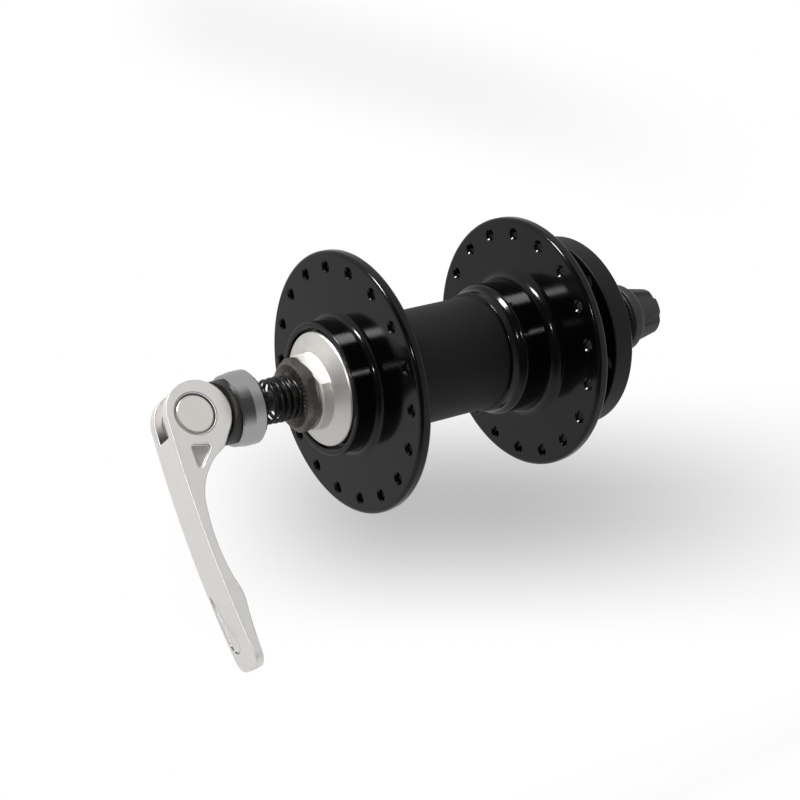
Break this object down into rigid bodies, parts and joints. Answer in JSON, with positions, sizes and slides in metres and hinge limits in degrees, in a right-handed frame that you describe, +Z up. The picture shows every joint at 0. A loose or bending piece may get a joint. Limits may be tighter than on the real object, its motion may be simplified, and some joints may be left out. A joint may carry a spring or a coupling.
{
  "type": "disc brake front hub",
  "caption": "Bicycle front hub with spoke flanges, a bolt-on brake disc mount, cup and cone bearings and a quick release skewer with a cam lever.",
  "frame": {"origin": "middle of the axle, half way between the two locknut faces that the fork's dropouts rest on", "axes": "+Y along the axle from the lever to the brake disc side, +X along the lever's pivot, +Z up with the closed lever pointing down"},
  "size_m": [0.0672, 0.1547, 0.0939],
  "materials": {
    "axle_steel": "turned steel with a thin oil film",
    "cone_steel": "ground bright steel",
    "cover_aluminium": "satin pressed aluminium with small tool marks",
    "washer_steel": "bright zinc plated",
    "locknut_steel": "dark phosphated steel",
    "shell_black": "gloss black flanges with a satin black barrel",
    "bearing_steel": "hardened and polished",
    "retainer_steel": "pressed steel",
    "rod_steel": "drawn steel",
    "pivot_steel": "satin nickel plated",
    "lever_aluminium": "satin tumbled aluminium",
    "follower_plastic": "moulded black nylon",
    "cup_aluminium": "polished",
    "grip_ring_steel": "black oxide with a knurled face",
    "nut_black": "matte dark coating",
    "spring_steel": "black oiled spring wire"
  },
  "bodies": {
    "axle_assembly": {"axle": "axle_steel", "cone_left": "cone_steel", "cone_right": "cone_steel", "dust_cover_left": "cover_aluminium", "dust_cover_right": "cover_aluminium", "lock_washer_left": "washer_steel", "lock_washer_right": "washer_steel", "locknut_left": "locknut_steel", "locknut_right": "locknut_steel"},
    "shell": {"hub_shell": "shell_black", "bearing_cup_left": "bearing_steel", "bearing_cup_right": "bearing_steel"},
    "left_ball_ring": {"balls_left": "bearing_steel", "ball_retainer_left": "retainer_steel"},
    "right_ball_ring": {"balls_right": "bearing_steel", "ball_retainer_right": "retainer_steel"},
    "lever_end_spring": {"spring_left": "spring_steel"},
    "skewer": {"skewer_rod": "rod_steel", "lever_barrel": "pivot_steel"},
    "lever": {"qr_lever": "lever_aluminium"},
    "cup": {"lever_cup": "cup_aluminium", "cup_grip_ring": "grip_ring_steel", "cam_follower": "follower_plastic"},
    "nut_end_spring": {"spring_right": "spring_steel"},
    "nut": {"qr_nut": "nut_black", "nut_grip_ring": "grip_ring_steel"}
  },
  "joints": [
    {"name": "shell_spin", "type": "hinge", "parent": "axle_assembly", "child": "shell", "pos_m": [0, 0, 0], "axis": [0, 1, 0], "continuous": true},
    {"name": "left_balls_roll", "type": "hinge", "parent": "axle_assembly", "child": "left_ball_ring", "pos_m": [0, -0.0366, 0], "axis": [0, 1, 0], "continuous": true},
    {"name": "right_balls_roll", "type": "hinge", "parent": "axle_assembly", "child": "right_ball_ring", "pos_m": [0, 0.0366, 0], "axis": [0, 1, 0], "continuous": true},
    {"name": "skewer_slide", "type": "slide", "parent": "axle_assembly", "child": "lever_end_spring", "axis": [0, 1, 0], "range_m": [-0.002, 0.005], "stiffness_N_per_m": 300, "deforming": ["spring_left", "spring_right"]},
    {"name": "skewer_swivel", "type": "hinge", "parent": "lever_end_spring", "child": "skewer", "pos_m": [0, 0, 0], "axis": [0, 1, 0], "continuous": true},
    {"name": "lever_flip", "type": "hinge", "parent": "skewer", "child": "lever", "pos_m": [0, -0.0787, 0], "axis": [-1, 0, 0], "range_deg": [0, 150]},
    {"name": "cam_slide", "type": "slide", "parent": "skewer", "child": "cup", "axis": [0, -1, 0], "range_m": [0, 0.0019]},
    {"name": "nut_travel", "type": "slide", "parent": "skewer", "child": "nut_end_spring", "axis": [0, 1, 0], "range_m": [-0.0008, 0.004]},
    {"name": "nut_turn", "type": "hinge", "parent": "nut_end_spring", "child": "nut", "pos_m": [0, 0.0556, 0], "axis": [0, 1, 0], "range_deg": [-360, 1800]}
  ],
  "couplings": [
    {"joint": "left_balls_roll", "follows": "shell_spin", "ratio": 0.591},
    {"joint": "right_balls_roll", "follows": "shell_spin", "ratio": 0.591},
    {"joint": "cam_slide", "follows": "lever_flip", "m_per_rad": 0.0007127},
    {"joint": "nut_turn", "follows": "nut_travel", "rad_per_m": 7854}
  ]
}
